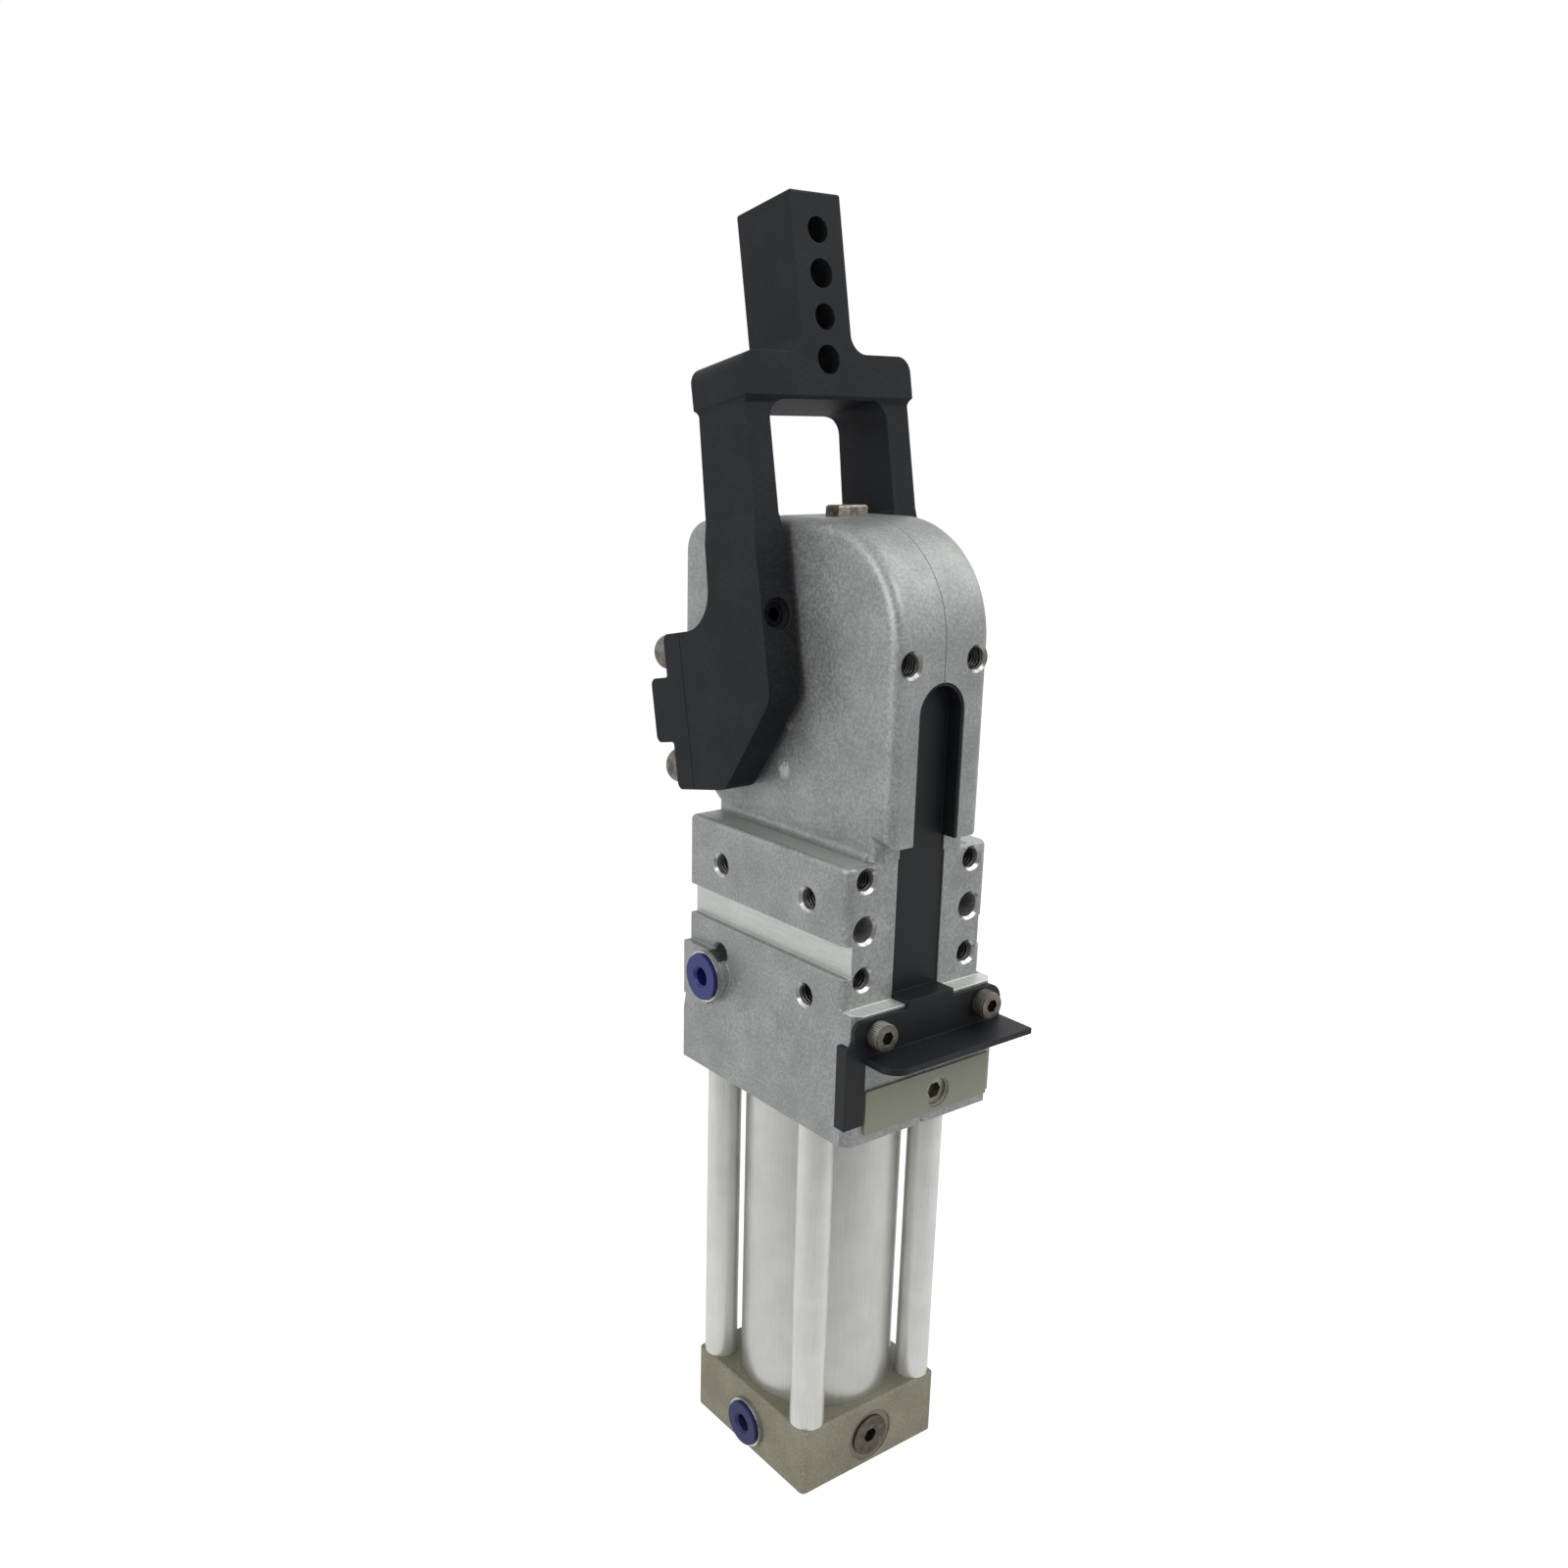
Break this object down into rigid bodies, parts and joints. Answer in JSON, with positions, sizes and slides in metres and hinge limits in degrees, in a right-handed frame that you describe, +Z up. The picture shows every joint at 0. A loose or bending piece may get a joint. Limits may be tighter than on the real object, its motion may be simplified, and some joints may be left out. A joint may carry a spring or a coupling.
{
  "type": "pneumatic clamp cylinder",
  "caption": "Pneumatic toggle clamp cylinder with a forked clamp arm swinging on a split cast body, square rear cover, tie rods, slot switch cover and push-in air ports.",
  "frame": {"origin": "centre of the rear cover's bottom face, on the cylinder axis", "axes": "+Z up the cylinder axis to the head, -Y out of the slot face, +Y to the workpiece side, -X out of the side with the air ports"},
  "size_m": [0.0707, 0.1232, 0.4284],
  "materials": {
    "cast_aluminium": "bead blasted casting",
    "arm_casting": "black coated steel casting",
    "tube_aluminium": "fine turned, satin",
    "rod_steel": "ground, satin",
    "cover_khaki": "khaki hard coat",
    "screw_steel": "plain",
    "black_plastic": "moulded",
    "blue_plastic": "moulded",
    "fitting_nickel": "nickel plated",
    "nameplate_foil": "bare printed foil",
    "bearing_bronze": "plain bearing",
    "seal_rubber": "moulded",
    "dark_steel": "hardened"
  },
  "bodies": {
    "body": {"rear_cover": "cover_khaki", "cylinder_tube": "tube_aluminium", "tie_rods": "rod_steel", "tie_rod_screws": "screw_steel", "tube_seals": "seal_rubber", "end_bumpers": "seal_rubber", "body_left": "cast_aluminium", "body_right": "cast_aluminium", "body_screws": "screw_steel", "body_dowels": "dark_steel", "rod_guide": "tube_aluminium", "rod_bush": "bearing_bronze", "rod_seal": "seal_rubber", "wiper_ring": "seal_rubber", "shaft_bushes": "bearing_bronze", "thrust_washers": "bearing_bronze", "switch_cassette": "black_plastic", "slot_cover": "black_plastic", "cover_screws": "screw_steel", "nameplate": "nameplate_foil", "nameplate_plug": "dark_steel", "front_port_fitting": "fitting_nickel", "rear_port_fitting": "fitting_nickel", "rear_port_plug": "fitting_nickel", "release_spring": "dark_steel"},
    "arm": {"clamp_arm": "arm_casting", "arm_cap_left": "arm_casting", "arm_cap_right": "arm_casting", "arm_cap_screws": "screw_steel", "arm_set_screws": "dark_steel", "output_shaft": "dark_steel", "shaft_key": "dark_steel", "toggle_lever": "dark_steel", "lever_pin": "dark_steel"},
    "link": {"toggle_link": "dark_steel"},
    "piston_group": {"piston": "tube_aluminium", "piston_seals": "seal_rubber", "wear_ring": "seal_rubber", "piston_nut": "dark_steel", "piston_rod": "rod_steel", "knuckle": "dark_steel", "guide_pins": "dark_steel", "guide_shoes": "bearing_bronze"},
    "button": {"release_button": "screw_steel"},
    "front_collar": {"front_port_collar": "blue_plastic"},
    "rear_collar": {"rear_port_collar": "blue_plastic"}
  },
  "joints": [
    {"name": "arm_swing", "type": "hinge", "parent": "body", "child": "arm", "pos_m": [0, 0.037, 0.268], "axis": [1, 0, 0], "range_deg": [-79.3, 10.7]},
    {"name": "piston_slide", "type": "slide", "parent": "body", "child": "piston_group", "axis": [0, 0, 1], "range_m": [-0.00833, 0.06165]},
    {"name": "link_swing", "type": "hinge", "parent": "arm", "child": "link", "pos_m": [0, 0.00507, 0.26588], "axis": [1, 0, 0], "range_deg": [-0.6444, 0.0956]},
    {"name": "button_press", "type": "slide", "parent": "body", "child": "button", "axis": [0, 0, -1], "range_m": [0, 0.0035], "stiffness_N_per_m": 800, "springref_m": -0.002, "deforming": ["release_spring"]},
    {"name": "front_collar_press", "type": "slide", "parent": "body", "child": "front_collar", "axis": [1, 0, 0], "range_m": [0, 0.001], "stiffness_N_per_m": 800, "springref_m": -0.001},
    {"name": "rear_collar_press", "type": "slide", "parent": "body", "child": "rear_collar", "axis": [1, 0, 0], "range_m": [0, 0.001], "stiffness_N_per_m": 800, "springref_m": -0.001}
  ],
  "couplings": [
    {"joint": "piston_slide", "follows": "arm_swing", "m_per_rad": -0.044536},
    {"joint": "link_swing", "follows": "arm_swing", "ratio": 0.008}
  ]
}
